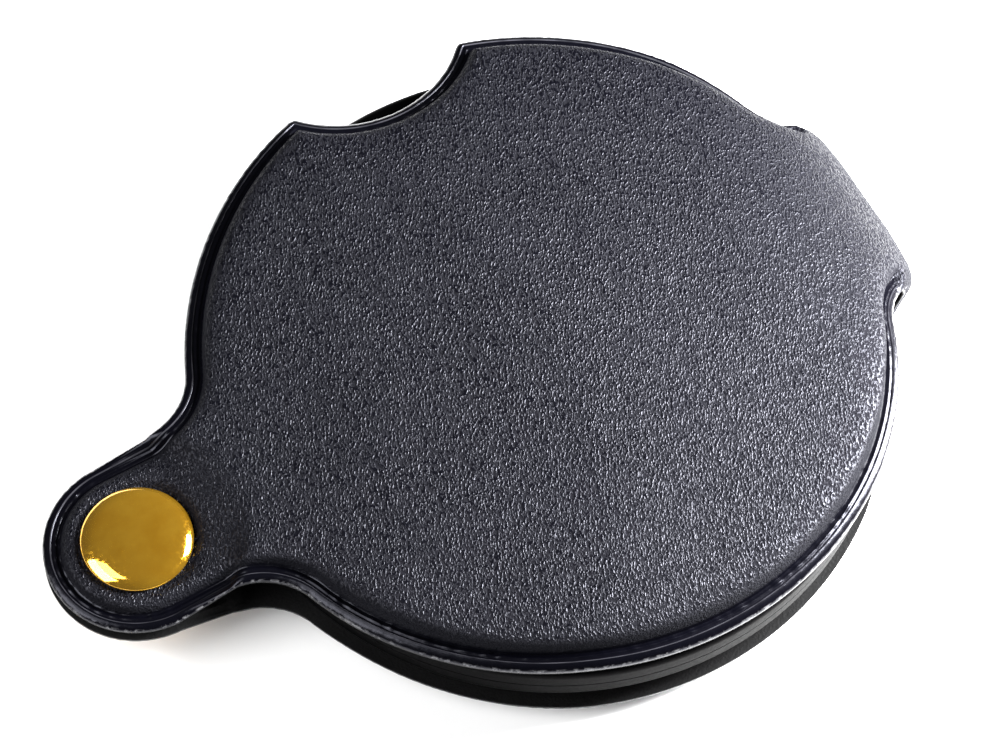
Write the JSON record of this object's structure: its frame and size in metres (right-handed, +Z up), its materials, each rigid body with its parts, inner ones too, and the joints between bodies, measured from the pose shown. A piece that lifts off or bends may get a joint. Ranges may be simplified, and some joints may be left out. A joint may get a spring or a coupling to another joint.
{
  "type": "folding pocket magnifier",
  "caption": "Pocket magnifying glass whose round lens, in a plastic ring, swings on a rivet out of a folded leatherette sleeve.",
  "frame": {"origin": "bottom centre of the closed magnifier's box", "axes": "+X along the sleeve from the rivet to the fold, +Y to the side with the thumb notch, +Z up out of the upper leaf"},
  "size_m": [0.085, 0.0642, 0.0134],
  "materials": {
    "skin": "black leatherette with a fine pebbled grain, smooth and glossy on the welded border",
    "lining": "matte black backing",
    "stiffener": "grey-brown board",
    "padding": "dark closed-cell foam sheet",
    "rivet_cap": "polished gilt",
    "rivet_body": "plain gilt",
    "frame": "glossy black moulding",
    "lens": "clear, polished"
  },
  "bodies": {
    "sleeve": {"sleeve_skin": "skin", "sleeve_lining": "lining", "upper_stiffener": "stiffener", "lower_stiffener": "stiffener", "upper_padding": "padding", "lower_padding": "padding", "rivet_upper_cap": "rivet_cap", "rivet_post": "rivet_body", "rivet_lower_cap": "rivet_cap", "rivet_tube": "rivet_body"},
    "lens_unit": {"lens_frame": "frame", "lens_retaining_ring": "frame", "lens": "lens"}
  },
  "joints": [
    {"name": "lens_swing", "type": "hinge", "parent": "sleeve", "child": "lens_unit", "pos_m": [-0.03417, 0.00051, 0.0067], "axis": [0, 0, 1], "continuous": true}
  ]
}
